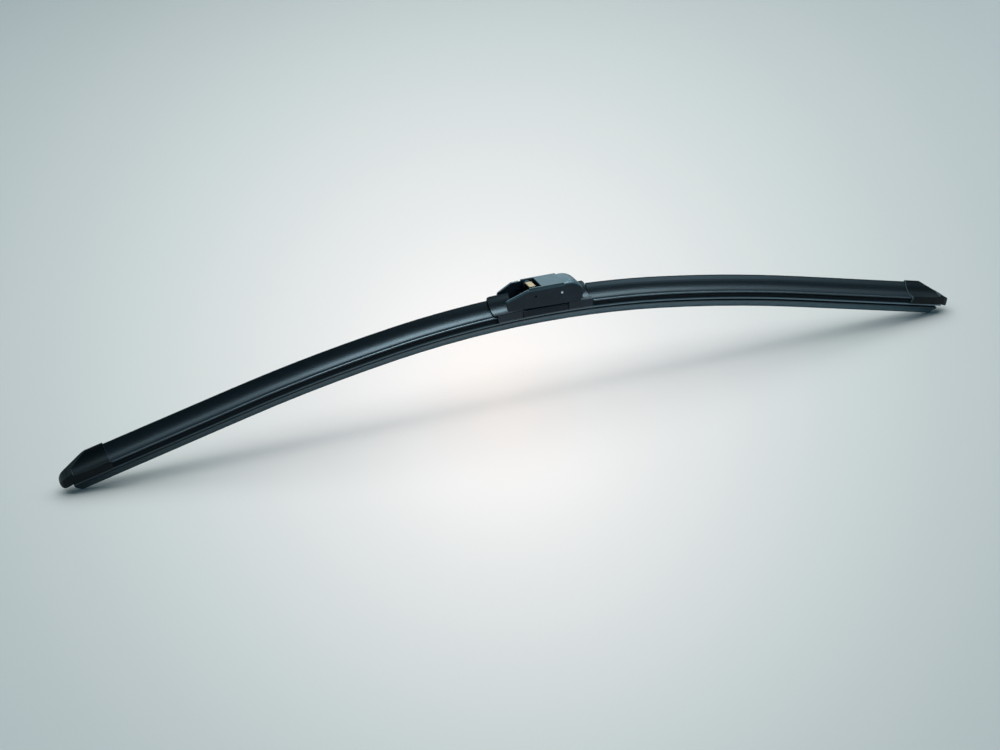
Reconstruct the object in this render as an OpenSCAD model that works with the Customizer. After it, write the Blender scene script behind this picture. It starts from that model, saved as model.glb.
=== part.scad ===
// Flat wiper blade, 600 mm, with a hook arm adapter that rocks on a pivot pin.
// X runs along the blade, +Y points to the back of the spoiler, +Z away from the glass.
// The origin is the centre of the pivot pin. Sizes along the blade are measured on the wiping lip.

/* [Blade] */
// Length of the rubber wiping element
blade_len = 600; // [560:5:640]
// Radius of the tight middle arc, at the lip
mid_r = 633; // [580:1:700]
// Half angle of the middle arc
mid_bend = 8.15; // [7:0.05:9]
// Radius of the flatter arcs beyond it
outer_r = 1075; // [900:5:1300]
// Angle of each flatter arc
outer_bend = 5.33; // [4.5:0.01:6]
// Height of the pivot pin above the lip
pin_h = 24.5; // [24:0.1:27]
// Distance from the blade's middle to the pin
pin_shift = 1.2; // [0:0.1:3]

/* [Wiper strip] */
// Thickness of the wiping lip
lip_t = 0.7; // [0.5:0.05:1]
// Height of the thin lip
lip_h = 1.6; // [1:0.1:2.4]
// Width of the wedge at its shoulders
wedge_w = 5.6; // [4.8:0.1:6.2]
// Height of the shoulders above the lip's edge
shoulder_h = 5; // [4.6:0.1:5.6]
// Width of the neck that lets the lip flip over
neck_w = 1.2; // [0.8:0.1:2]
// Height of the wide flange's lower face above the lip
flange_h = 7.6; // [7:0.1:7.8]
// Width of the wide flange
flange_w = 14; // [13.4:0.1:14.4]
// Thickness of the wide flange
flange_t = 0.7; // [0.5:0.05:0.8]
// Height of the rails' seat above the lip
seat_h = 9.3; // [9.2:0.05:9.4]
// Width of the seat and of the head
head_w = 6; // [5.4:0.1:6.4]
// Thickness of the head over the rails
head_t = 1.3; // [1:0.1:1.4]
// Width of the web between the two rails
web_w = 3; // [2.4:0.1:3.6]

/* [Spring rails] */
// Width of each flat spring
rail_w = 3.8; // [3:0.1:4]
// Thickness of each flat spring
rail_t = 0.9; // [0.6:0.05:1.1]
// How far the springs stop short of the rubber's ends
rail_short = 3; // [1:0.5:6]

/* [Spoiler] */
// Height of the ridge above the lip
ridge_h = 19.8; // [18.5:0.1:21]
// Distance of the ridge behind the middle
ridge_y = 5.6; // [4:0.1:6]
// Height of the front edge bead above the lip
bead_h = 12.9; // [12.6:0.1:13.4]
// Distance of the front edge in front of the middle
front_y = 7.4; // [7:0.1:7.6]
// Radius of the concave front face
hollow_r = 13; // [11:0.5:16]
// Width over the jaws that grip the rails
jaw_w = 12.8; // [12.6:0.1:13.2]
// Height of the jaws' and claws' lips under the rails
grip_t = 0.45; // [0.4:0.05:0.5]

/* [Connector base] */
// Distance from the blade's middle to the middle of the base
base_shift = 7.8; // [6:0.1:9]
// Length of the base over its claws
base_len = 62.8; // [60:0.2:66]
// Length of each claw
claw_len = 16; // [14:0.5:18]
// Width of the base
base_w = 16; // [15.8:0.1:17]
// Height of the claws above the lip
claw_top = 14.2; // [13.8:0.1:14.3]
// Radius of the claws' lower corners
claw_r = 1.6; // [0.8:0.1:2.4]
// Height of the steel channel above the lip
deck_top = 13.2; // [12.9:0.1:13.4]
// Thickness of the folded steel
steel_t = 1; // [0.8:0.05:1.2]
// Height of the fins above the lip
fin_top = 22.2; // [21:0.1:22.4]
// How far the left fin runs out past its claw
left_fin_out = 2.2; // [1.6:0.2:5]
// Length of the left fin, which runs in between the adapter's walls
left_fin_len = 13.8; // [10:0.2:14]
// How far the right fin stops short of its claw's end
right_fin_back = 0.9; // [0.3:0.1:2]
// Gap between the adapter's tail and the right fin, measured on the lip
tail_gap = 0.4; // [0.2:0.1:1.6]
// Radius of the fins' outer top corners
fin_r = 2.6; // [1:0.1:3]

/* [Pivot] */
// Diameter of the pivot pin
pin_d = 2.6; // [2.2:0.1:3]
// Height of the brass bush over its top and bottom flats
bush_h = 5.6; // [5:0.1:5.8]
// Width of the brass bush over its front and back flats
bush_w = 4.6; // [4.2:0.1:5]
// Diameter that the bush's corners are turned to
bush_d = 6.8; // [6.4:0.1:7.2]
// Distance between the outer faces of the two cheeks
cheek_span = 10.2; // [10:0.1:11.4]
// Radius of the rounded top of each cheek
eye_r = 2.5; // [2.3:0.1:2.8]
// Diameter of the bosses round the bores in the adapter
boss_d = 5.4; // [5:0.1:6]
// Running clearance round the pin in the adapter
pin_gap = 0.06; // [0.03:0.01:0.09]

/* [Adapter] */
// Width over the adapter's side walls
adapter_w = 19; // [18.4:0.1:20]
// Thickness of the side walls
wall_t = 1.8; // [1.5:0.05:2]
// Distance from the pin to the nose
nose_len = 19.8; // [18:0.2:20.4]
// Distance from the pin to the end of the tail
tail_len = 32.4; // [31:0.2:33]
// Height of the side walls' lower edge above the lip, under the pin
wall_low = 15; // [14.9:0.1:15.6]
// Slope of that edge towards the tail, in degrees
low_fall = 2; // [1:0.1:2.1]
// Height of the side walls above the lip where the nose slope ends
wall_top = 27.2; // [26.8:0.1:27.6]
// Height of the nose corner above the lip
nose_top = 22.4; // [20:0.1:23]
// Distance from the pin forward to the end of the nose slope
slope_end = 5; // [4:0.2:7]
// Slope of the top edge towards the tail, in degrees
top_fall = 0.5; // [0:0.1:2]
// Distance from the pin forward to the hump on the far wall's nose
hump_x = 10; // [9:0.2:12]
// Width of the bevel along the walls' top edges
bevel_y = 0.9; // [0.5:0.1:1.2]
// Height of that bevel
bevel_z = 1; // [0.5:0.1:1.4]
// Rise of the tail's crown above the bevel's foot
crown = 2.1; // [1.4:0.1:2.4]
// Height of the tail's crease above the lip at its end
tail_h = 20.6; // [19:0.1:21.5]

/* [Adapter clip] */
// Distance from the end of the nose slope to the rear of the top plate
plate_len = 24.6; // [23:0.2:25]
// Distance that the plate's front stays back from the end of the nose slope
plate_back = 1.2; // [0.6:0.1:2]
// Thickness of the top plate
plate_t = 1; // [0.8:0.1:1.6]
// Length of the notch that is open to the front
notch_len = 8.4; // [8:0.1:9.6]
// Length of the skirts inside the walls
skirt_len = 6.8; // [5:0.2:8]
// Height of the lugs above the lip
lug_h = 21.8; // [21:0.1:23]
// Diameter of the snap lugs on the skirts
lug_d = 1.5; // [1.2:0.1:1.8]

/* [End caps] */
// How far each cap reaches in over the spoiler from the rubber's end
cap_cover = 25; // [22:0.5:30]
// How far each cap reaches out past the rubber's end
cap_out = 7.4; // [6:0.2:8]
// Wall of the cap round the spoiler
cap_wall = 0.9; // [0.7:0.05:1.2]
// Length of the spoiler inside the cap
cap_grip = 7; // [4:0.5:10]
// Length of the straight part of the cap's ridge
cap_flat = 10.5; // [8:0.5:13]
// Length of the cap's solid nose
nose_solid = 9.5; // [8:0.5:11]
// Height of the nose tip above the lip
tip_h = 12.1; // [11.4:0.1:12.6]
// Clearance between pieces that slide together
fit_gap = 0.1; // [0.05:0.01:0.15]

/* [Hidden] */
eps = 0.01;
// lap of the outer arcs in degrees, and how much slimmer they are
lap = 0.02;
slim = 0.998;
// lengths along the lip where the arcs end
mid_run = mid_r * mid_bend * PI / 180;
outer_run = outer_r * outer_bend * PI / 180;
half_len = blade_len / 2;
// heights of the rubber's levels above the lip
slot_top = seat_h + rail_t + fit_gap;
head_top = slot_top + head_t;
// the channel that slides over the rails and the rubber's head
pocket_y = web_w / 2 + rail_w + 2 * fit_gap;
pocket_low = seat_h - fit_gap / 2;
pocket_top = slot_top + fit_gap;
head_y = head_w / 2 + 3 * fit_gap;
head_roof = head_top + 2 * fit_gap;
// inner edge and lower edge of the lips that hold the rails from below
grip_y = pocket_y - 0.8;
grip_low = pocket_low - grip_t;
// lower edge of the claws and of the steel channel
claw_low = grip_low - 0.3;
// spans of the base, measured from the blade's middle
base_l = base_shift - base_len / 2;
base_r = base_shift + base_len / 2;
claw_in_l = base_l + claw_len;
claw_in_r = base_r - claw_len;
seam = 0.5;
deck_l = claw_in_l + seam;
deck_r = claw_in_r - seam;
cap_s = half_len - cap_cover;
cap_end = half_len + cap_out;
cap_len = cap_end - cap_s;
// inside half widths of the adapter and of the cheeks
inner_y = adapter_w / 2 - wall_t;
cheek_in = cheek_span / 2 - steel_t;
// ends of the clip's plate, from the pin
plate_front = plate_back - slope_end;
plate_end = plate_len - slope_end;

// heights above the pin of sizes that are given above the lip
function up(h) = h - pin_h;

// points on the arc of radius r through a and b that bulges to the right of a towards b
function arc_points(a, b, r, steps) =
    let (d = b - a, len = norm(d), mid = (a + b) / 2,
         c = mid + [-d.y, d.x] / len * sqrt(r * r - len * len / 4),
         t0 = atan2(a.y - c.y, a.x - c.x), t1 = atan2(b.y - c.y, b.x - c.x),
         sweep = t1 - t0 > 180 ? t1 - t0 - 360 : t1 - t0 < -180 ? t1 - t0 + 360 : t1 - t0)
    [for (i = [0 : steps]) c + r * [cos(t0 + sweep * i / steps), sin(t0 + sweep * i / steps)]];

// the same from a to b, bulging to the left of that direction
function bulge_points(a, b, r, steps) =
    let (p = arc_points(b, a, r, steps)) [for (i = [steps : -1 : 0]) p[i]];

// moves blade pieces, drawn from the lip at the blade's middle, to the pin
module from_lip() translate([-pin_shift, 0, -pin_h]) children();

// stands a section, drawn as [y, height], up across X
module upright(len) rotate([90, 0, 90]) linear_extrude(len) children();

// sweeps a section, drawn as [y, height above the lip], round part of an arc of the lip
module arc_sweep(r, from, to)
    rotate([90, 0, 0])
        rotate_extrude(angle = to - from, start = 90 - to)
            translate([r, 0]) rotate(-90) children();

// the frames of the outer arc and of the straight end, for the half with positive X
module outer_frame() translate([0, 0, -mid_r]) rotate([0, mid_bend, 0]) translate([0, 0, mid_r - outer_r]) children();
module end_frame() outer_frame() rotate([0, outer_bend, 0]) translate([0, 0, outer_r]) children();

// sweeps a section along the middle arc, between two lengths along the lip
module mid_sweep(from, to)
    translate([0, 0, -mid_r]) arc_sweep(mid_r, from / mid_r * 180 / PI, to / mid_r * 180 / PI) children();

// sweeps a section on from the middle arc. The outer arc is a hair slimmer and laps
// into both of its neighbours, so that the three stretches join cleanly.
module outer_sweep(to) {
    outer_frame() arc_sweep(outer_r, -lap, outer_bend + lap) scale(slim) children();
    end_frame() upright(to - mid_run - outer_run) children();
}

module full_sweep(reach) {
    mid_sweep(-mid_run, mid_run) children();
    outer_sweep(reach) children();
    mirror([1, 0, 0]) outer_sweep(reach) children();
}

module half_sweep(from, reach) {
    mid_sweep(from, mid_run) children();
    outer_sweep(reach) children();
}

// a straight extrusion along Y of an outline drawn as [x, z], centred on y
module across(y, w) translate([0, y + w / 2, 0]) rotate([90, 0, 0]) linear_extrude(w) children();

module both_sides() {
    children();
    mirror([0, 1, 0]) children();
}

// half of the rubber's section, from the lip up
function strip_side() = [
    [lip_t / 2, 0], [lip_t / 2 + 0.08, lip_h], [lip_t / 2 + 0.3, lip_h + 0.5],
    [wedge_w / 2 - 0.1, shoulder_h - 0.7], [wedge_w / 2, shoulder_h - 0.5], [wedge_w / 2, shoulder_h],
    [neck_w / 2 + 0.5, shoulder_h + 0.15], [neck_w / 2, shoulder_h + 0.5], [neck_w / 2, flange_h - 0.5],
    [neck_w / 2 + 0.6, flange_h], [flange_w / 2, flange_h], [flange_w / 2, flange_h + flange_t],
    [head_w / 2, flange_h + flange_t], [head_w / 2, seat_h], [web_w / 2, seat_h], [web_w / 2, slot_top],
    [head_w / 2, slot_top], [head_w / 2, head_top - 0.4], [head_w / 2 - 0.4, head_top]];

// the other half of a symmetric outline, back from its end
function mirrored(side) = [for (i = [len(side) - 1 : -1 : 0]) [-side[i].x, side[i].y]];

module strip_section() polygon(concat(strip_side(), mirrored(strip_side())));

// what the rounded corner at each end of the lip takes off
module lip_corner() {
    run = half_len - mid_run - outer_run;
    reach = 4.5;
    end_frame() across(0, head_w)
        polygon(concat([[run + 1, shoulder_h], [run + 1, -1], [run - reach, -1]],
                       arc_points([run - reach, 0], [run, shoulder_h - 0.2], 5, 6)));
}

module wiper_strip() color("#26333a") from_lip() difference() {
    full_sweep(half_len) strip_section();
    lip_corner();
    mirror([1, 0, 0]) lip_corner();
}

module rail(side)
    from_lip() full_sweep(half_len - rail_short)
        translate([side * (web_w + rail_w + 2 * fit_gap) / 2 - rail_w / 2, seat_h + fit_gap / 2])
            square([rail_w, rail_t]);

module front_spring_rail() color("#5a6268") rail(-1);
module rear_spring_rail() color("#5a6268") rail(1);

// half outline of that channel, from its open bottom up
function channel_side(low) = [
    [grip_y, low], [grip_y, pocket_low], [pocket_y, pocket_low], [pocket_y, pocket_top],
    [head_y, pocket_top], [head_y, head_roof]];

function hollow_face(front, ridge, steps) = arc_points(front, ridge, hollow_r, steps);

// half outline of the jaws, from the lip under the rail to the undercut below the bead
function jaw_side() = [
    [jaw_w / 2 - 0.5, grip_low], [jaw_w / 2, grip_low + 0.5], [jaw_w / 2, pocket_top + 0.2],
    [jaw_w / 2 - 0.3, pocket_top + 0.6]];

// outline of the spoiler: jaw, bead, concave face, ridge, back and jaw
function spoiler_outline() = concat(
    [for (p = jaw_side()) [-p.x, p.y]],
    [[-front_y + 0.5, bead_h - 1.1], [-front_y, bead_h - 0.9], [-front_y - 0.25, bead_h - 0.5],
     [-front_y - 0.2, bead_h - 0.15], [-front_y + 0.15, bead_h + 0.15]],
    hollow_face([-front_y + 0.6, bead_h + 0.1], [ridge_y - 0.6, ridge_h - 0.35], 12),
    [[ridge_y - 0.15, ridge_h], [ridge_y + 0.35, ridge_h - 0.1], [ridge_y + 0.65, ridge_h - 0.6],
     [ridge_y + 0.9, bead_h + 1], [ridge_y + 1.3, bead_h - 1.6]],
    [for (i = [3 : -1 : 0]) jaw_side()[i]]);

module spoiler_section()
    polygon(concat(spoiler_outline(), channel_side(grip_low), mirrored(channel_side(grip_low))));

module right_spoiler() color("#12181c") from_lip() half_sweep(base_r + fit_gap, cap_s + cap_grip) spoiler_section();

// the left one is cut down to its bead where the left fin runs out over it
module left_spoiler() color("#12181c") from_lip() mirror([1, 0, 0]) difference() {
    half_sweep(fit_gap - base_l, cap_s + cap_grip) spoiler_section();
    mid_sweep(-base_l - 1, left_fin_out - base_l + fit_gap)
        translate([-base_w / 2, bead_h + 0.3]) square([base_w, ridge_h]);
}

// side view of the cap from its inner edge: straight ridge, slope, small shelf, blunt tip and underside
module cap_profile() {
    low = grip_low - 0.2;
    top = ridge_h + cap_wall;
    shelf = tip_h + 2.2;
    across(0, 4 * front_y)
        polygon([[0, low], [0, top], [cap_flat, top], [cap_flat + 1.2, top - 0.3], [cap_len - 6.6, shelf + 0.1],
                 [cap_len - 5.4, shelf - 0.2], [cap_len - 3, tip_h + 1], [cap_len - 1.4, tip_h],
                 [cap_len - 0.5, tip_h - 0.8], [cap_len, tip_h - 2], [cap_len, tip_h - 3],
                 [cap_len - 0.5, tip_h - 4], [cap_len - 1.5, low - 1.2], [cap_len - 2.8, low - 1.3],
                 [cap_len - 6.8, low - 0.3]]);
}

// plan of the cap, whose front edge tapers in to the rounded nose
module cap_plan()
    translate([0, 0, 1]) linear_extrude(ridge_h + 2)
        polygon([[0, -front_y - 1.6], [cap_len - 13, -front_y + 0.2], [cap_len - 5, -5.7], [cap_len - 2, -4.5],
                 [cap_len - 0.6, -3], [cap_len, -1], [cap_len, 2.2], [cap_len - 0.6, 4.2], [cap_len - 2.2, 5.8],
                 [cap_len - 7, ridge_y + 1.3], [0, ridge_y + 2.4]]);

// section of the sheath: it stands proud of the spoiler, with full sides down to the jaws
module cap_section() {
    offset(delta = cap_wall, chamfer = true) polygon(spoiler_outline());
    polygon([[-front_y, grip_low], [-front_y - 1.2, grip_low + 0.8], [-front_y - 1.6, grip_low + 1.6],
             [-front_y - 1.6, bead_h + 0.3], [-front_y - 0.9, bead_h + 1], [front_y + 0.6, bead_h - 0.4],
             [front_y + 0.4, grip_low + 0.8], [front_y, grip_low]]);
}

module end_cap() {
    from_lip() end_frame() translate([cap_s - mid_run - outer_run, 0, 0]) difference() {
        intersection() {
            union() {
                upright(cap_len - nose_solid) cap_section();
                translate([cap_len - nose_solid - eps, -2 * front_y, 1]) cube([nose_solid + 1, 4 * front_y, ridge_h]);
            }
            cap_plan();
            cap_profile();
        }
        // socket for the spoiler's end
        translate([-eps, 0, 0]) upright(cap_grip + fit_gap) offset(delta = fit_gap / 2) polygon(spoiler_outline());
        // slot for the rails, the seat and the rubber's head
        translate([-eps, 0, 0]) upright(cap_cover - rail_short + fit_gap)
            translate([-pocket_y, pocket_low]) square([2 * pocket_y, pocket_top - pocket_low]);
        translate([-eps, 0, 0]) upright(cap_cover + fit_gap)
            translate([-head_y, 0]) square([2 * head_y, head_roof]);
        // relief for the end of the wide flange
        translate([-eps, 0, 0]) upright(cap_cover + fit_gap)
            translate([-flange_w / 2 - fit_gap, 0]) square([flange_w + 2 * fit_gap, flange_h + flange_t + fit_gap]);
    }
}

module right_end_cap() color("#15191c") end_cap();
module left_end_cap() color("#15191c") translate([-2 * pin_shift, 0, 0]) mirror([1, 0, 0]) end_cap();

// the folded channel under the adapter, closed round the rails
module channel_section() {
    y = base_w / 2;
    bend = 0.6;
    inside = [[grip_y, claw_low], [grip_y, pocket_low], [y - steel_t, pocket_low], [y - steel_t, deck_top - steel_t]];
    polygon(concat(
        [[-y + bend, claw_low], [-y, claw_low + bend], [-y, deck_top - bend], [-y + bend, deck_top],
         [y - bend, deck_top], [y, deck_top - bend], [y, claw_low + bend], [y - bend, claw_low]],
        inside, mirrored(inside)));
}

// side view of a cheek, with its eye round the pin and its foot on the channel
module cheek_outline() {
    foot = up(deck_top - 0.3);
    foot_in = 0.3;
    foot_rear = 10;
    hull() {
        circle(r = eye_r);
        translate([deck_l - pin_shift + foot_in, foot]) square([deck_r - deck_l - foot_in - foot_rear, 0.6]);
    }
}

module steel_bridge() color("#1b2025") {
    difference() {
        union() {
            from_lip() mid_sweep(deck_l, deck_r) channel_section();
            both_sides() across(cheek_in + steel_t / 2, steel_t) cheek_outline();
        }
        rotate([90, 0, 0]) cylinder(d = pin_d, h = 2 * cheek_span, center = true, $fn = 48);
    }
}

// half outline of the claws outside their channel
function claw_side() = [
    [base_w / 2 - 0.8, claw_low], [base_w / 2, claw_low + 0.8], [base_w / 2, claw_top - 0.3],
    [base_w / 2 - 0.3, claw_top]];

module claw_section()
    polygon(concat([for (p = claw_side()) [-p.x, p.y]], [for (i = [3 : -1 : 0]) claw_side()[i]],
                   channel_side(claw_low), mirrored(channel_side(claw_low))));

// moves from the middle of the lip to a length s along its middle arc
module at_lip(s) translate([0, 0, -mid_r]) rotate([0, s / mid_r * 180 / PI, 0]) translate([0, 0, mid_r]) children();

// what a rounded corner of radius r takes off a block whose lower corner is at height low
module low_corner(low, r) across(0, 2 * base_w)
    polygon(concat([[-1, low - 1], [r, low - 1]], bulge_points([r, low], [0, low + r], r, 6), [[-1, low + r]]));

// the same for an upper corner
module top_corner(top, r) across(0, 2 * base_w)
    polygon(concat([[-1, top + 1], [r, top + 1]], arc_points([r, top], [0, top - r], r, 6), [[-1, top - r]]));

// a claw between two lengths along the lip
module claw(from, to) difference() {
    mid_sweep(from, to) claw_section();
    at_lip(from) low_corner(claw_low, claw_r);
    at_lip(to) mirror([1, 0, 0]) low_corner(claw_low, claw_r);
}

// the fin carries the spoiler's hollow face up to its own ridge
module fin_section(low, ridge)
    polygon(concat([[-front_y + 0.3, low], [-front_y + 0.3, claw_top - 0.1]],
                   hollow_face([-front_y + 0.6, claw_top + 0.1], [ridge_y - 0.5, ridge - 0.4], 12),
                   [[ridge_y - 0.1, ridge], [ridge_y + 0.5, ridge - 0.3], [ridge_y + 0.9, ridge - 1],
                    [ridge_y + 0.9, low]]));

module left_shroud() color("#171c20") from_lip() {
    fin_l = base_l - left_fin_out;
    claw(base_l, claw_in_l);
    difference() {
        union() {
            mid_sweep(base_l + eps, fin_l + left_fin_len) fin_section(head_roof + 0.2, fin_top);
            mid_sweep(fin_l, base_l + 1) fin_section(bead_h + 0.7, fin_top);
        }
        at_lip(fin_l) top_corner(fin_top, fin_r);
    }
}

module right_shroud() color("#171c20") from_lip() {
    fin_end = base_r - right_fin_back;
    ridge = fin_top - 0.4;
    claw(claw_in_r, base_r);
    difference() {
        mid_sweep(pin_shift + tail_len + tail_gap, fin_end) fin_section(head_roof + 0.2, ridge);
        at_lip(fin_end) mirror([1, 0, 0]) top_corner(ridge, fin_r);
    }
}

module pivot_pin() color("#8d949a")
    rotate([90, 0, 0]) cylinder(d = pin_d, h = 2 * (inner_y + wall_t - 0.6), center = true, $fn = 48);

module pin_bush() color("#c9a066")
    rotate([90, 0, 0]) difference() {
        intersection() {
            cylinder(d = bush_d, h = 2 * cheek_in, center = true, $fn = 64);
            cube([bush_w, bush_h, 2 * cheek_in], center = true);
        }
        cylinder(d = pin_d, h = 2 * cheek_in + 1, center = true, $fn = 48);
    }

// heights of the side walls' top and lower edges, x being measured from the pin
function adapter_top(x) = up(wall_top) - (x + slope_end) * tan(top_fall);
function adapter_low(x) = up(wall_low) - x * tan(low_fall);
tail_foot = tail_len - 3;
core_d = 1.3;
core_z = -(pin_d + core_d) / 2 - 0.1;

// side view of the walls up to the clip's rear end, with their top edge lowered by drop
module wall_outline(drop)
    polygon([[plate_end, adapter_low(plate_end)], [-nose_len + 0.9, adapter_low(-nose_len)],
             [-nose_len, up(nose_top) - 0.6 - drop], [-nose_len + 0.5, up(nose_top) - drop],
             [-slope_end, adapter_top(-slope_end) - drop], [plate_end, adapter_top(plate_end) - drop]]);

// the far wall has a fuller nose, with a hump in front of the clip
module far_nose()
    across(adapter_w / 2 - wall_t / 2, wall_t)
        polygon([[-nose_len + 0.5, up(nose_top) - bevel_z], [-nose_len + 1.4, up(nose_top)],
                 [-hump_x, up(wall_top) - 0.2], [-slope_end, adapter_top(-slope_end)], [-slope_end, up(nose_top)]]);

// side view of the tail at a share t of the way from the crease up to the crown
module tail_outline(t) {
    rear = plate_end + 4.7 * t;
    top = adapter_top(plate_end) - bevel_z + crown * t;
    polygon(concat([[plate_end, adapter_low(plate_end)], [plate_end, top - 0.3 * t]],
                   bulge_points([rear, top], [tail_len, up(tail_h) + 0.6 * t], 13 - 3.4 * t, 8),
                   [[tail_len - 0.1, up(tail_h) - 1], [tail_foot + 0.7, adapter_low(tail_foot) + 0.6],
                    [tail_foot, adapter_low(tail_foot)]]));
}

// the tail rounds over from the crease on each side to a crown in the middle
module tail()
    hull()
        for (a = [0 : 15 : 90])
            across(0, 0.4 + (adapter_w - 0.4) * pow(cos(a), 0.74)) tail_outline(pow(sin(a), 0.74));

module adapter_housing() color("#232b33") {
    difference() {
        union() {
            hull() {
                across(0, adapter_w) wall_outline(bevel_z);
                across(0, adapter_w - 2 * bevel_y) wall_outline(0);
            }
            far_nose();
            tail();
        }
        // open nose, the space under the clip, and the hollow tail
        difference() {
            across(0, 2 * inner_y)
                polygon([[-nose_len - 1, up(wall_low) - 3], [-nose_len - 1, up(wall_top) + 5],
                         [plate_end, up(wall_top) + 5], [plate_end, adapter_top(plate_end) - 1.2], [plate_end + 5, adapter_top(plate_end) - 1.4],
                         [tail_len - 3.6, up(tail_h)], [tail_len - 4.8, up(wall_low) - 3]]);
            // bosses round the bores
            both_sides() translate([0, inner_y + 1, 0]) rotate([90, 0, 0])
                cylinder(d = boss_d, h = inner_y + 1 - cheek_span / 2 - fit_gap, $fn = 48);
            // guide ribs for the arm
            both_sides() translate([-6.4, inner_y - 0.5, up(22)]) cube([3.2, 1, 0.6]);
        }
        // pivot bores, blind from the inside
        rotate([90, 0, 0])
            cylinder(d = pin_d + 2 * pin_gap, h = 2 * (inner_y + wall_t - 0.5), center = true, $fn = 48);
        // small core holes under the pin
        translate([0, 0, core_z]) rotate([90, 0, 0])
            cylinder(d = core_d, h = 2 * adapter_w, center = true, $fn = 32);
        // windows for the clip's lugs
        translate([plate_end - 2, 0, up(lug_h)]) rotate([90, 0, 0])
            cylinder(d = lug_d + 2 * fit_gap, h = 2 * adapter_w, center = true, $fn = 32);
    }
}

// side view of a band that rises from the walls' top edge by a height, between two distances from the pin
module top_band(from, to, rise)
    polygon([[from, adapter_top(from)], [to, adapter_top(to)], [to, adapter_top(to) + rise],
             [from, adapter_top(from) + rise]]);

module adapter_clip() color("#6f8088") {
    rear = plate_end - fit_gap;
    skirt_t = 1.1;
    skirt_low = up(lug_h) - 1.4;
    difference() {
        across(0, adapter_w - 2 * bevel_y) top_band(plate_front, rear, plate_t);
        translate([plate_front - 1, -inner_y, -1]) cube([notch_len + 1, 2 * inner_y, pin_h]);
    }
    both_sides() {
        across(inner_y - fit_gap - skirt_t / 2, skirt_t)
            polygon([[rear - skirt_len, skirt_low], [rear, skirt_low], [rear, adapter_top(rear) + 0.2],
                     [rear - skirt_len, adapter_top(rear - skirt_len) + 0.2]]);
        translate([plate_end - 2, inner_y + wall_t / 2 - fit_gap, up(lug_h)]) rotate([90, 0, 0])
            cylinder(d = lug_d, h = wall_t, center = true, $fn = 32);
    }
}

wiper_strip();
front_spring_rail();
rear_spring_rail();
left_spoiler();
right_spoiler();
left_end_cap();
right_end_cap();
steel_bridge();
left_shroud();
right_shroud();
pivot_pin();
pin_bush();
adapter_housing();
adapter_clip();
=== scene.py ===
import math
import bpy
from mathutils import Matrix, Vector


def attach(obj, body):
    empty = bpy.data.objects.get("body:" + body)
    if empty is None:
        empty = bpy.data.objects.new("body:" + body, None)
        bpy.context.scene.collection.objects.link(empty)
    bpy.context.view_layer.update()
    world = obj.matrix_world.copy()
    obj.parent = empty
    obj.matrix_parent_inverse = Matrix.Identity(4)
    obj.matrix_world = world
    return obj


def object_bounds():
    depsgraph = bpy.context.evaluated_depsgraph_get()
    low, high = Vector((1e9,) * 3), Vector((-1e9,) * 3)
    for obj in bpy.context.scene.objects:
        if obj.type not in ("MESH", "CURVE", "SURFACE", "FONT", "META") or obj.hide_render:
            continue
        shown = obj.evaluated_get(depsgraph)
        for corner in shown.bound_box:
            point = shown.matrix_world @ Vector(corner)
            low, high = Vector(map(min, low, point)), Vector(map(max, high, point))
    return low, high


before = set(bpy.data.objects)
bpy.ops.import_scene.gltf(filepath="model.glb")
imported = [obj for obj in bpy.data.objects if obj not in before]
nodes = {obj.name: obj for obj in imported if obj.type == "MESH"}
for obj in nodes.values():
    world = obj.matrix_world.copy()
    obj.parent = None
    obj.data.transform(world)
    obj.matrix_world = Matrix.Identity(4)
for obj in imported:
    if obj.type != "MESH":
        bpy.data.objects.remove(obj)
cad_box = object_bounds()
MM = 0.001


# ---- Wiping rubber ------------------------------------------------------------------------
# One extruded strip of natural rubber, 600 mm long, with a thin lip, a wedge and a wide flange
# under the spring rails. It is dusted with graphite so that it slides quietly on the glass.

def linear(code):
    """The linear colour of an sRGB hex code."""
    parts = [int(code[i:i + 2], 16) / 255 for i in (1, 3, 5)]
    return tuple(p / 12.92 if p <= 0.04045 else ((p + 0.055) / 1.055) ** 2.4 for p in parts) + (1.0,)


def add(material, kind, settings=None, links=None):
    """Adds a node. Settings name its options, its sockets or a ramp's stops, and links name the
    sockets that other nodes feed."""
    node = material.node_tree.nodes.new("ShaderNode" + kind)
    for name, value in (settings or {}).items():
        if name == "stops":
            points = node.color_ramp.elements
            while len(points) < len(value):
                points.new(0.5)
            for point, (position, code) in zip(points, value):
                point.position, point.color = position, linear(code)
        elif isinstance(name, str) and hasattr(node, name):
            setattr(node, name, value)
        else:
            node.inputs[name].default_value = value
    for name, source in (links or {}).items():
        material.node_tree.links.new(getattr(source, "outputs", [source])[0], node.inputs[name])
    return node


def new_material(name):
    """An empty node material, and the place and the normal on the piece, in its own axes."""
    material = bpy.data.materials.new(name)
    material.use_nodes = True
    material.node_tree.nodes.clear()
    where = add(material, "TexCoord")
    return material, where.outputs["Object"], where.outputs["Normal"]


SHARP = math.radians(28)


def coat(name, material, edge=0):
    """Puts a material on a CAD piece, and rounds the edges that are sharper than SHARP by a small
    radius in millimetres."""
    mesh = nodes[name].data
    mesh.materials.clear()
    mesh.materials.append(material)
    if edge:
        round_off = nodes[name].modifiers.new("edge", "BEVEL")
        round_off.width, round_off.segments = edge * MM, 2
        round_off.limit_method, round_off.angle_limit = "ANGLE", SHARP
        round_off.harden_normals = True


# The cool tint of the sheen on all the black surfaces.
SHEEN = linear("#dcf4ff")

# The blade's own curve: a tight middle arc, flatter arcs beyond it and straight ends.
MID_R, OUTER_R = 633 * MM, 1075 * MM
MID_BEND, END_BEND = math.radians(8.15), math.radians(13.48)
PIN_OVER_LIP = Vector((1.2, 0, 24.5)) * MM


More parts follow.
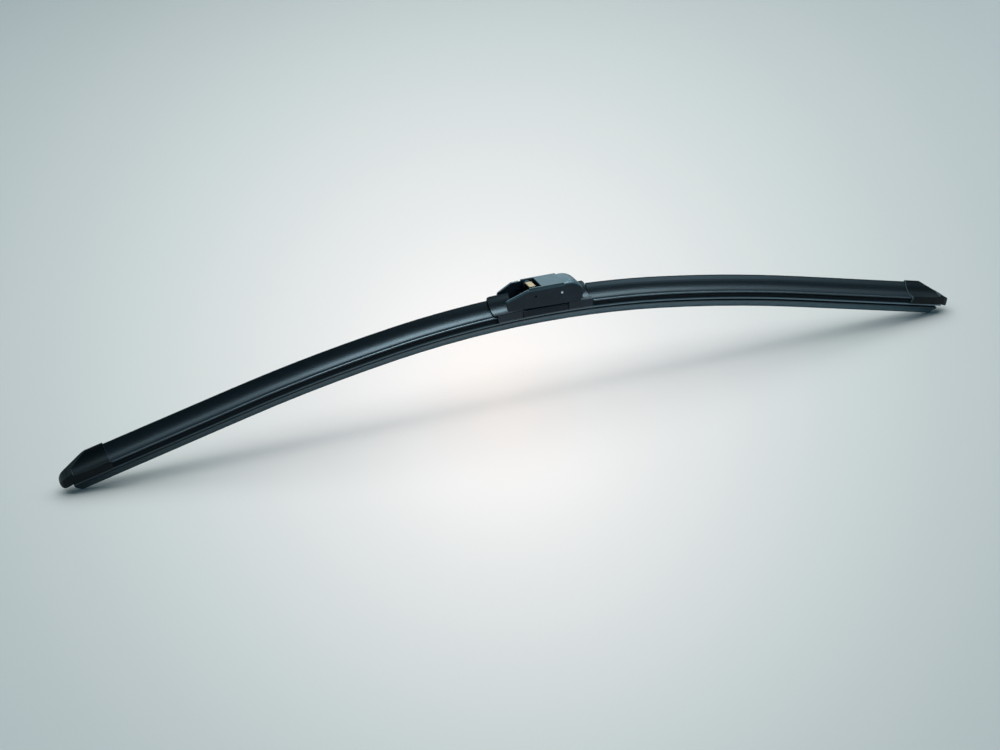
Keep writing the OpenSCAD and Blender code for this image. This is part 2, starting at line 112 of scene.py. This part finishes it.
def height_over_lip(material, place):
    """How far a point stands over the wiping lip, in metres, all along the curve."""
    shifted = add(material, "Mapping", {"Location": PIN_OVER_LIP}, {"Vector": place})
    axes = add(material, "SeparateXYZ", links={"Vector": shifted})
    reach = add(material, "Math", {"operation": "ABSOLUTE"}, {0: axes.outputs["X"]})
    flat = add(material, "CombineXYZ", links={"X": reach, "Z": axes.outputs["Z"]})
    outer_x = (MID_R - OUTER_R) * math.sin(MID_BEND)
    outer_z = (MID_R - OUTER_R) * math.cos(MID_BEND) - MID_R
    end_x = outer_x + OUTER_R * math.sin(END_BEND)
    heights = []
    for centre, radius in (((0, 0, -MID_R), MID_R), ((outer_x, 0, outer_z), OUTER_R)):
        gap = add(material, "VectorMath", {"operation": "DISTANCE", 1: centre}, {0: flat})
        heights.append(add(material, "Math", {"operation": "SUBTRACT", 1: radius}, {0: gap.outputs["Value"]}))
    along = add(material, "VectorMath", {"operation": "SUBTRACT", 1: (outer_x, 0, outer_z)}, {0: flat})
    end_up = (math.sin(END_BEND), 0, math.cos(END_BEND))
    out = add(material, "VectorMath", {"operation": "DOT_PRODUCT", 1: end_up}, {0: along})
    heights.append(add(material, "Math", {"operation": "SUBTRACT", 1: OUTER_R}, {0: out.outputs["Value"]}))
    height = heights[0]
    for following, start in zip(heights[1:], (MID_R * math.sin(MID_BEND), end_x)):
        beyond = add(material, "Math", {"operation": "GREATER_THAN", 1: start}, {0: reach})
        height = add(material, "Mix", {}, {0: beyond, 2: height, 3: following})
    return height


def graphite_rubber():
    """Natural rubber, extruded and dusted with graphite: a dull blue-grey with long faint streaks,
    with a painted highlight along the flange's edge, and painted shade in the neck and towards the
    left end."""
    material, place, _ = new_material("natural rubber, extruded, graphite dusted")
    # streaks about 0.4 mm wide and 20 mm long, and dust drawn at 0.3 mm, coarser than real
    stretched = add(material, "Mapping", {"Scale": (8, 400, 400)}, {"Vector": place})
    streaks = add(material, "TexNoise", {"Scale": 3, "Detail": 4, "Roughness": 0.6}, {"Vector": stretched})
    dust = add(material, "TexNoise", {"Scale": 1600, "Detail": 3}, {"Vector": place})
    both = add(material, "Mix", {0: 0.5}, {2: streaks, 3: dust})
    dusted = add(material, "ValToRGB", {"stops": [(0.3, "#42555f"), (0.5, "#50656f"), (0.7, "#607680")]},
                 {"Fac": both})
    height = height_over_lip(material, place)
    level = add(material, "MapRange", {"From Min": 0, "From Max": 10 * MM}, {"Value": height})
    # lip, wedge, neck and flange from the bottom up: darker at the lip's foot, and the neck painted near black as
    # shade
    parts = add(material, "ValToRGB", {"stops": [(0.0, "#8a8a8a"), (0.12, "#ffffff"), (0.42, "#e0e0e0"),
                                                 (0.56, "#1a1a1a"), (0.74, "#202020"), (0.77, "#ffffff")]},
                {"Fac": level})
    shaded = add(material, "Mix", {"data_type": "RGBA", "blend_type": "MULTIPLY", 0: 1.0}, {6: dusted, 7: parts})
    # painted highlight: a pale line along the flange's front edge
    edge = add(material, "ValToRGB", {"stops": [(0.74, "#000000"), (0.77, "#ffffff"), (0.84, "#ffffff"),
                                                (0.88, "#000000")]}, {"Fac": level})
    painted_highlight = add(material, "Mix", {"data_type": "RGBA", 7: linear("#66757d")}, {0: edge, 6: shaded.outputs[2]})
    axes = add(material, "SeparateXYZ", links={"Vector": place})
    # painted shade: the rubber is darkened towards the left end
    left = add(material, "MapRange", {"From Min": -300 * MM, "From Max": 60 * MM, "To Min": 0.75, "To Max": 0.0},
               {"Value": axes.outputs["X"]})
    colour = add(material, "Mix", {"data_type": "RGBA", 7: linear("#0d1315")}, {0: left, 6: painted_highlight.outputs[2]})
    rough = add(material, "MapRange", {"To Min": 0.45, "To Max": 0.62}, {"Value": both})
    bump = add(material, "Bump", {"Strength": 0.25, "Distance": 0.05 * MM}, {"Height": both})
    shader = add(material, "BsdfPrincipled", {"IOR": 1.52, "Specular IOR Level": 0.25, "Specular Tint": SHEEN},
                 {"Base Color": colour.outputs[2], "Roughness": rough, "Normal": bump})
    add(material, "OutputMaterial", links={"Surface": shader})
    return material


coat("wiper_strip", graphite_rubber(), 0.12)


# ---- Spring rails -------------------------------------------------------------------------
# Two flat springs of rolled carbon steel, slid into the rubber's side slots. They give the
# blade its arch and press the lip on the glass over its whole length.

def rolled_steel():
    """Spring steel, cold rolled: grey metal with fine lines along the strip."""
    material, place, _ = new_material("carbon spring steel, cold rolled")
    stretched = add(material, "Mapping", {"Scale": (10, 3000, 3000)}, {"Vector": place})
    lines = add(material, "TexNoise", {"Scale": 1, "Detail": 5}, {"Vector": stretched})
    colour = add(material, "ValToRGB", {"stops": [(0.35, "#6d7277"), (0.65, "#8b9196")]}, {"Fac": lines})
    rough = add(material, "MapRange", {"To Min": 0.28, "To Max": 0.42}, {"Value": lines})
    bump = add(material, "Bump", {"Strength": 0.3, "Distance": 0.01 * MM}, {"Height": lines})
    shader = add(material, "BsdfPrincipled", {"Metallic": 1.0},
                 {"Base Color": colour, "Roughness": rough, "Normal": bump})
    add(material, "OutputMaterial", links={"Surface": shader})
    return material


spring_steel = rolled_steel()
coat("front_spring_rail", spring_steel)
coat("rear_spring_rail", spring_steel)


# ---- Spoilers -----------------------------------------------------------------------------
# Two extrusions of black thermoplastic rubber, clipped over the spring rails on each side of
# the connector. The hollow front face turns the wind into a force towards the glass.

def spoiler_rubber(name, gloss):
    """Thermoplastic rubber, extruded: deep black with a satin skin and faint lines along its
    length, and matt on the upright jaws and in the gutter behind the bead."""
    material, place, normal = new_material(name)
    # die lines about 0.7 mm apart, and a skin grain drawn at 0.2 mm, coarser than real
    stretched = add(material, "Mapping", {"Scale": (6, 900, 900)}, {"Vector": place})
    lines = add(material, "TexNoise", {"Scale": 1.5, "Detail": 3}, {"Vector": stretched})
    skin = add(material, "TexNoise", {"Scale": 2500, "Detail": 2}, {"Vector": place})
    colour = add(material, "ValToRGB", {"stops": [(0.3, "#04070b"), (0.7, "#090f15")]}, {"Fac": lines})
    facing = add(material, "SeparateXYZ", links={"Vector": normal})
    towards = add(material, "MapRange", {"From Min": -1}, {"Value": facing.outputs["Y"]})
    # from the upright front jaw through the hollow and the gutter to the back
    rough = add(material, "ValToRGB", {"stops": [(0.03, "#ededed"), (0.08, "#959595"), (0.41, "#959595"),
                                                 (0.455, "#ededed"), (0.52, "#ededed"), (0.58, "#a0a0a0")]},
                {"Fac": towards})
    grained = add(material, "Math", {"operation": "MULTIPLY_ADD", 1: 0.12}, {0: lines, 2: rough})
    bump = add(material, "Bump", {"Strength": 0.12, "Distance": 0.03 * MM}, {"Height": skin})
    shader = add(material, "BsdfPrincipled", {"IOR": 1.5, "Specular IOR Level": gloss, "Specular Tint": SHEEN},
                 {"Base Color": colour, "Roughness": grained, "Normal": bump})
    add(material, "OutputMaterial", links={"Surface": shader})
    return material


spoiler_skin = spoiler_rubber("thermoplastic rubber, extruded", 0.3)
coat("left_spoiler", spoiler_skin, 0.2)
coat("right_spoiler", spoiler_skin, 0.2)


def on_blade(s, y, n):
    """A point s along the wiping lip, y across it and n over it, in the model's frame."""
    side, s = math.copysign(1, s), abs(s)
    bend = min(s / MID_R, MID_BEND)
    x, z = MID_R * math.sin(bend), MID_R * (math.cos(bend) - 1)
    rest = s - MID_R * MID_BEND
    if rest > 0:
        more = min(rest / OUTER_R, END_BEND - MID_BEND)
        x += OUTER_R * (math.sin(bend + more) - math.sin(bend))
        z += OUTER_R * (math.cos(bend + more) - math.cos(bend))
        bend += more
        x += max(rest - OUTER_R * more, 0) * math.cos(bend)
        z -= max(rest - OUTER_R * more, 0) * math.sin(bend)
    return Vector((side * (x + n * math.sin(bend)), y, z + n * math.cos(bend))) - PIN_OVER_LIP


# The rolled bead that stiffens each spoiler's front edge, as (y, height) in millimetres.
BEAD = [(-7.5, 12.1), (-7.95, 12.15), (-8.15, 12.4), (-8.1, 12.7), (-7.3, 13.02), (-7.05, 13.0), (-6.95, 12.7)]
BEAD_STEPS = 130
bead_skin = spoiler_rubber("thermoplastic rubber, extruded, burnished by the die", 0.9)


def front_bead(name, start, end):
    """The bead between two places along the lip, in millimetres, swept along the blade's curve."""
    corners, faces = [], []
    for i in range(BEAD_STEPS + 1):
        s = start + (end - start) * i / BEAD_STEPS
        corners += [on_blade(s * MM, y * MM, n * MM) for y, n in BEAD]
    k = len(BEAD)
    for i in range(BEAD_STEPS):
        for j in range(k):
            faces.append((i * k + j, i * k + (j + 1) % k, (i + 1) * k + (j + 1) % k, (i + 1) * k + j))
    faces += [tuple(range(k))[::-1], tuple(range(BEAD_STEPS * k, BEAD_STEPS * k + k))]
    shape = bpy.data.meshes.new(name)
    shape.from_pydata(corners, [], faces)
    for face in shape.polygons[:-2]:
        face.use_smooth = True
    shape.materials.append(bead_skin)
    bead = bpy.data.objects.new(name, shape)
    bpy.context.scene.collection.objects.link(bead)
    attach(bead, "blade")


front_bead("left_spoiler_bead", -274.9, -23.7)
front_bead("right_spoiler_bead", 39.3, 274.9)


# ---- End caps -----------------------------------------------------------------------------
# Moulded caps that slide over the spoilers' ends and close off the rails. Each one slopes
# down to a rounded tip, and hides where the rubber is pinned to the springs.

def grained_plastic(name, dark, light, upward, roughness, gloss, painted_highlight=1, rim=-1):
    """A moulded plastic, from a spark eroded tool: a fine even grain under a soft sheen, with a
    painted light or shade on the faces that look up. A painted highlight is put on faces further
    out in y than the given distance, and on faces that look to the middle of the blade where x times the normal's
    x is under `rim`."""
    material, place, normal = new_material(name)
    # grain drawn at 0.2 mm, coarser than the real 0.05 mm, so that it shows
    grain = add(material, "TexNoise", {"Scale": 3000, "Detail": 2, "Roughness": 0.6}, {"Vector": place})
    flow = add(material, "TexNoise", {"Scale": 120, "Detail": 2}, {"Vector": place})
    upright = add(material, "ValToRGB", {"stops": [(0.3, dark), (0.7, light)]}, {"Fac": flow})
    facing = add(material, "SeparateXYZ", links={"Vector": normal})
    # painted light or shade: faces that look up take the third colour, lighter or darker than the rest
    painted_top_mask = add(material, "MapRange", {"From Min": 0.25, "From Max": 0.6}, {"Value": facing.outputs["Z"]})
    toned = add(material, "Mix", {"data_type": "RGBA", 7: linear(upward)}, {0: painted_top_mask, 6: upright})
    axes = add(material, "SeparateXYZ", links={"Vector": place})
    # painted highlight: faces further out in y than the given distance are made pale
    side = add(material, "Math", {"operation": "ABSOLUTE"}, {0: axes.outputs["Y"]})
    glint_mask = add(material, "Math", {"operation": "GREATER_THAN", 1: painted_highlight}, {0: side})
    pale = add(material, "Mix", {"data_type": "RGBA", 7: linear("#c6d0d4")}, {0: glint_mask, 6: toned.outputs[2]})
    # painted highlight: faces that look to the middle of the blade are made grey
    inward = add(material, "Math", {"operation": "MULTIPLY"}, {0: axes.outputs["X"], 1: facing.outputs["X"]})
    on_rim = add(material, "Math", {"operation": "LESS_THAN", 1: rim}, {0: inward})
    colour = add(material, "Mix", {"data_type": "RGBA", 7: linear("#5c676c")}, {0: on_rim, 6: pale.outputs[2]})
    rough = add(material, "MapRange", {"To Min": roughness - 0.05, "To Max": roughness + 0.05}, {"Value": grain})
    bump = add(material, "Bump", {"Strength": 0.2, "Distance": 0.04 * MM}, {"Height": grain})
    shader = add(material, "BsdfPrincipled", {"IOR": 1.55, "Specular IOR Level": gloss, "Specular Tint": SHEEN},
                 {"Base Color": colour.outputs[2], "Roughness": rough, "Normal": bump})
    add(material, "OutputMaterial", links={"Surface": shader})
    return material


# the caps' rims that face the middle of the blade get a painted highlight
cap_plastic = grained_plastic("glass filled polyester, moulded", "#05080a", "#0a0f11", "#05080a", 0.4, 0.14,
                              rim=-0.15)
coat("left_end_cap", cap_plastic, 0.3)
coat("right_end_cap", cap_plastic, 0.3)


# ---- Connector base -----------------------------------------------------------------------
# A folded steel channel with two cheeks carries the pivot. Moulded claws grip the rails on
# both sides of it, and their fins carry the spoiler's line up to the adapter.

def dipped_steel():
    """Mild steel, pressed and electro-coated: black with a faint orange peel, and a painted
    highlight in pale grey along the deck's front edge."""
    material, place, _ = new_material("mild steel, folded, electro-coated")
    # orange peel about 1 mm across
    peel = add(material, "TexNoise", {"Scale": 900, "Detail": 1}, {"Vector": place})
    dipped = add(material, "ValToRGB", {"stops": [(0.3, "#0c131a"), (0.7, "#131b23")]}, {"Fac": peel})
    height = height_over_lip(material, place)
    # painted highlight: the deck's top front edge is made pale grey
    edge = add(material, "MapRange", {"From Min": 12.8 * MM, "From Max": 13.1 * MM}, {"Value": height})
    axes = add(material, "SeparateXYZ", links={"Vector": place})
    outside = add(material, "MapRange", {"From Min": -7.5 * MM, "From Max": -7.9 * MM},
                  {"Value": axes.outputs["Y"]})
    painted_highlight = add(material, "Math", {"operation": "MULTIPLY"}, {0: edge, 1: outside})
    colour = add(material, "Mix", {"data_type": "RGBA", 7: linear("#8b979c")}, {0: painted_highlight, 6: dipped})
    rough = add(material, "MapRange", {"To Min": 0.32, "To Max": 0.42}, {"Value": peel})
    bump = add(material, "Bump", {"Strength": 0.15, "Distance": 0.03 * MM}, {"Height": peel})
    shader = add(material, "BsdfPrincipled", {"IOR": 1.5, "Specular IOR Level": 0.2, "Specular Tint": SHEEN},
                 {"Base Color": colour.outputs[2], "Roughness": rough, "Normal": bump})
    add(material, "OutputMaterial", links={"Surface": shader})
    return material


coat("steel_bridge", dipped_steel(), 0.2)
# the claws' upward faces are painted darker, as shade
claw_plastic = grained_plastic("glass filled polyester, moulded, black", "#10171f", "#18212a", "#04070a",
                               0.34, 0.3)
coat("left_shroud", claw_plastic, 0.3)
coat("right_shroud", claw_plastic, 0.3)


# ---- Pivot --------------------------------------------------------------------------------
# A riveted steel pin joins the cheeks, and the arm's hook turns on a brass bush round it.

def turned_metal(name, dark, light, roughness, shade_below):
    """Metal turned on a lathe: fine rings round the axis, which is along Y. It is painted dark
    below a height, as shade."""
    material, place, _ = new_material(name)
    # rings 0.1 mm apart
    rings = add(material, "Mapping", {"Scale": (200, 9000, 200)}, {"Vector": place})
    tool = add(material, "TexNoise", {"Scale": 1, "Detail": 3}, {"Vector": rings})
    bare = add(material, "ValToRGB", {"stops": [(0.3, dark), (0.7, light)]}, {"Fac": tool})
    axes = add(material, "SeparateXYZ", links={"Vector": place})
    # painted shade: near black below the given height
    low = add(material, "MapRange", {"From Min": shade_below - 0.4 * MM, "From Max": shade_below + 0.2 * MM,
                                     "To Min": 1.0, "To Max": 0.0}, {"Value": axes.outputs["Z"]})
    colour = add(material, "Mix", {"data_type": "RGBA", 7: linear("#1a1410")}, {0: low, 6: bare})
    rough = add(material, "MapRange", {"To Min": roughness - 0.06, "To Max": roughness + 0.06}, {"Value": tool})
    bump = add(material, "Bump", {"Strength": 0.2, "Distance": 0.01 * MM}, {"Height": tool})
    shader = add(material, "BsdfPrincipled", {"Metallic": 1.0},
                 {"Base Color": colour.outputs[2], "Roughness": rough, "Normal": bump})
    add(material, "OutputMaterial", links={"Surface": shader})
    return material


coat("pivot_pin", turned_metal("carbon steel, turned", "#7b8085", "#a2a7ab", 0.35, -5 * MM))
coat("pin_bush", turned_metal("brass, turned", "#7f6a50", "#947c60", 0.5, 2.2 * MM), 0.2)


# ---- Adapter ------------------------------------------------------------------------------
# A moulded hook adapter: two side walls, a rounded tail and a plate that snaps in on top.
# The arm's hook goes in at the open nose and seats on the bush.

# the housing's upward faces are painted lighter, as a highlight
black_acetal = grained_plastic("acetal, moulded, black", "#0e161d", "#151e27", "#33434a", 0.34, 0.26)
# the ends of the plate's lugs, past 8.95 mm, get a painted highlight
grey_acetal = grained_plastic("acetal, moulded, grey", "#2c3a3f", "#38484c", "#344347", 0.36, 0.2, 8.95 * MM)
coat("adapter_housing", black_acetal, 0.5)
coat("adapter_clip", grey_acetal, 0.3)


# ---- Camera -------------------------------------------------------------------------------
# The photograph's viewpoint, a little above the blade and to its left, with a slight roll.

AZIMUTH, ELEVATION, ROLL = 18.075, 25.342, -3.601
AIM = Vector((-23.904, 0, -55.545)) * MM
DISTANCE, LENS, SENSOR = 1180.25 * MM, 66.394, 36

turn, tilt, roll = (math.radians(a) for a in (AZIMUTH, ELEVATION, ROLL))
forward = Vector((math.sin(turn) * math.cos(tilt), math.cos(turn) * math.cos(tilt), -math.sin(tilt)))
level = Vector((math.cos(turn), -math.sin(turn), 0))
upward = level.cross(forward)
right = math.cos(roll) * level + math.sin(roll) * upward
top = -math.sin(roll) * level + math.cos(roll) * upward
lens = bpy.data.cameras.new("camera")
lens.lens, lens.sensor_width = LENS, SENSOR
lens.clip_start, lens.clip_end = 0.05, 50
camera = bpy.data.objects.new("camera", lens)
bpy.context.scene.collection.objects.link(camera)
turned = Matrix((right, top, -forward)).transposed().to_4x4()
camera.matrix_world = Matrix.Translation(AIM - forward * DISTANCE) @ turned
bpy.context.scene.camera = camera


# ---- Floor --------------------------------------------------------------------------------
# A plain paper sweep with a painted pool of light: palest under the blade and falling to blue-grey at the
# picture's edges.

FLOOR_Z = cad_box[0].z
HALF = 6.0
mesh = bpy.data.meshes.new("floor")
mesh.from_pydata([(-HALF, -HALF, 0), (HALF, -HALF, 0), (HALF, HALF, 0), (-HALF, HALF, 0)], [], [(0, 1, 2, 3)])
floor = bpy.data.objects.new("floor", mesh)
bpy.context.scene.collection.objects.link(floor)
floor.location = (0, 0, FLOOR_Z)


def paper():
    """Matt paper with a painted pool of light: a soft oval fade that widens towards the back."""
    material, place, _ = new_material("matt paper")
    oval = add(material, "Mapping", {"vector_type": "TEXTURE", "Location": (-0.024, 0.004, 0),
                                     "Rotation": (0, 0, -0.288), "Scale": (0.405, 0.956, 1)}, {"Vector": place})
    axes = add(material, "SeparateXYZ", links={"Vector": oval})
    widening = add(material, "Math", {"operation": "MULTIPLY_ADD", 1: 0.706, 2: 1.0}, {0: axes.outputs["Y"]})
    # far in front the oval would turn inside out, so its width stops at a twentieth
    kept = add(material, "Math", {"operation": "MAXIMUM", 1: 0.05}, {0: widening})
    shrink = add(material, "Math", {"operation": "DIVIDE", 0: 1.0}, {1: kept})
    drawn = add(material, "VectorMath", {"operation": "SCALE"}, {0: oval, "Scale": shrink})
    distance = add(material, "VectorMath", {"operation": "LENGTH"}, {0: drawn})
    colour = add(material, "ValToRGB", {"stops": [(0.00, "#fafafa"), (0.14, "#edf3f7"), (0.29, "#dde6eb"),
                                                  (0.43, "#d0dce1"), (0.57, "#c3d3d7"), (0.71, "#b9c9cf"),
                                                  (0.86, "#b0c2c8"), (1.00, "#abbdc4")]},
                 {"Fac": distance.outputs["Value"]})
    shader = add(material, "BsdfPrincipled", {"Roughness": 0.9, "Specular IOR Level": 0.2}, {"Base Color": colour})
    add(material, "OutputMaterial", links={"Surface": shader})
    return material


mesh.materials.append(paper())


# ---- Light --------------------------------------------------------------------------------
# Two soft boxes in line with the blade and a wide one over it light the floor, so that the
# shadow runs straight from end to end. The others stand behind the blade and at the front right
# for the black surfaces to mirror, and leave the floor alone.

def soft_box(name, size, place, power, code, lit):
    """A rectangular lamp aimed at the pivot, which lights only what its collection says."""
    lamp = bpy.data.lights.new(name, "AREA")
    lamp.shape, lamp.size, lamp.size_y = "RECTANGLE", size[0], size[1]
    lamp.energy, lamp.color = power, linear(code)[:3]
    box = bpy.data.objects.new(name, lamp)
    bpy.context.scene.collection.objects.link(box)
    box.location = place
    box.rotation_euler = (-Vector(place)).to_track_quat("-Z", "Y").to_euler()
    box.visible_camera = False
    box.light_linking.receiver_collection = lit


floor_only = bpy.data.collections.new("floor only")
floor_only.objects.link(floor)
all_but_floor = bpy.data.collections.new("all but the floor")
all_but_floor.objects.link(floor)
all_but_floor.collection_objects[0].light_linking.link_state = "EXCLUDE"

soft_box("left", (0.5, 0.45), (-1.3, 0.0, 1.3), 3.7, "#ffeee5", floor_only)
soft_box("right", (0.5, 0.45), (1.6, 0.0, 1.3), 4.6, "#ffeee5", floor_only)
soft_box("over", (2.6, 3.0), (0.15, 0.3, 1.5), 45, "#ffeee5", floor_only)
soft_box("behind", (0.45, 0.5), (0.03, 0.57, 1.0), 12.5, "#dff5ff", all_but_floor)
soft_box("behind left", (0.4, 0.35), (-0.42, 0.5, 1.0), 1.8, "#dff5ff", all_but_floor)
soft_box("behind right", (0.5, 0.5), (0.52, 0.6, 1.0), 7, "#dff5ff", all_but_floor)
soft_box("far right", (0.7, 0.5), (1.15, 0.7, 1.0), 1.7, "#dff5ff", all_but_floor)
soft_box("front right", (0.65, 0.6), (0.92, -1.05, 1.0), 11, "#dff5ff", all_but_floor)
soft_box("low", (1.8, 0.8), (0.7, 2.2, 0.85), 11, "#dcf2fa", all_but_floor)

world = bpy.data.worlds.new("room")
bpy.context.scene.world = world
world.use_nodes = True
world.node_tree.nodes["Background"].inputs["Color"].default_value = linear("#98cbd9")
world.node_tree.nodes["Background"].inputs["Strength"].default_value = 0.3
bpy.context.scene.view_settings.view_transform = "Standard"
